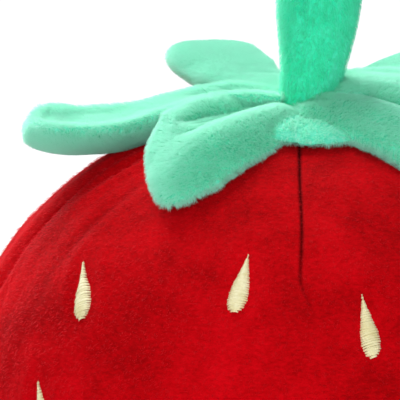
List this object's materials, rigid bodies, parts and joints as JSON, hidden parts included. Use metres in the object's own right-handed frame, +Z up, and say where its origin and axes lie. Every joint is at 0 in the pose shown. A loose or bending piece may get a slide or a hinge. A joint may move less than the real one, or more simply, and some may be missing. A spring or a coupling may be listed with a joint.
{
  "type": "strawberry plush cushion",
  "caption": "Strawberry-shaped plush cushion with embroidered seeds, a padded green leaf crown whose leaves lift, and a soft stem that tips.",
  "frame": {"origin": "middle of the flat base, on the surface it stands on", "axes": "+Z up through the stem, -Y towards the front with the dart, +X to its right"},
  "size_m": [0.278, 0.278, 0.3711],
  "materials": {
    "red_plush": "matte",
    "green_plush": "matte",
    "seed_thread": "satin",
    "red_thread": "satin",
    "green_thread": "satin",
    "fibrefill": "matte"
  },
  "bodies": {
    "cushion": {"front_panel": "red_plush", "back_left_panel": "red_plush", "back_right_panel": "red_plush", "body_filling": "fibrefill", "front_seeds": "seed_thread", "back_left_seeds": "seed_thread", "back_right_seeds": "seed_thread", "closing_stitches": "red_thread", "crown_under": "green_plush", "crown_wadding": "fibrefill", "crown_upper": "green_plush", "crown_stitches": "green_thread"},
    "leaf_left": {"leaf_left_upper": "green_plush", "leaf_left_wadding": "fibrefill", "leaf_left_under": "green_plush"},
    "leaf_front_left": {"leaf_front_left_upper": "green_plush", "leaf_front_left_wadding": "fibrefill", "leaf_front_left_under": "green_plush"},
    "leaf_front_right": {"leaf_front_right_upper": "green_plush", "leaf_front_right_wadding": "fibrefill", "leaf_front_right_under": "green_plush"},
    "leaf_right": {"leaf_right_upper": "green_plush", "leaf_right_wadding": "fibrefill", "leaf_right_under": "green_plush"},
    "leaf_back_left": {"leaf_back_left_upper": "green_plush", "leaf_back_left_wadding": "fibrefill", "leaf_back_left_under": "green_plush"},
    "leaf_back_right": {"leaf_back_right_upper": "green_plush", "leaf_back_right_wadding": "fibrefill", "leaf_back_right_under": "green_plush"},
    "stem": {"stem_front": "green_plush", "stem_back": "green_plush", "stem_filling": "fibrefill"}
  },
  "joints": [
    {"name": "leaf_left_lift", "type": "hinge", "parent": "cushion", "child": "leaf_left", "pos_m": [-0.04494, 0.00235, 0.30008], "axis": [0.0523, 0.9986, 0], "range_deg": [-10, 65], "stiffness_Nm_per_rad": 0.01, "springref_deg": 1.72},
    {"name": "leaf_front_left_lift", "type": "hinge", "parent": "cushion", "child": "leaf_front_left", "pos_m": [-0.02832, -0.03497, 0.30008], "axis": [-0.7771, 0.6293, 0], "range_deg": [0, 75]},
    {"name": "leaf_front_right_lift", "type": "hinge", "parent": "cushion", "child": "leaf_front_right", "pos_m": [0.03447, -0.02892, 0.30008], "axis": [-0.6428, -0.766, 0], "range_deg": [0, 75]},
    {"name": "leaf_right_lift", "type": "hinge", "parent": "cushion", "child": "leaf_right", "pos_m": [0.04385, 0.01012, 0.30008], "axis": [0.225, -0.9744, 0], "range_deg": [-18, 52], "stiffness_Nm_per_rad": 0.01, "springref_deg": 1.72},
    {"name": "leaf_back_left_lift", "type": "hinge", "parent": "cushion", "child": "leaf_back_left", "pos_m": [-0.0225, 0.03897, 0.30008], "axis": [0.866, 0.5, 0], "range_deg": [-16, 55], "stiffness_Nm_per_rad": 0.01, "springref_deg": 1.72},
    {"name": "leaf_back_right_lift", "type": "hinge", "parent": "cushion", "child": "leaf_back_right", "pos_m": [0.01973, 0.04045, 0.30008], "axis": [0.8988, -0.4384, 0], "range_deg": [-18, 52], "stiffness_Nm_per_rad": 0.01, "springref_deg": 1.72},
    {"name": "stem_tilt", "type": "hinge", "parent": "cushion", "child": "stem", "pos_m": [0.0045, 0, 0.3133], "axis": [0, 1, 0], "range_deg": [-30, 24], "stiffness_Nm_per_rad": 0.02}
  ]
}
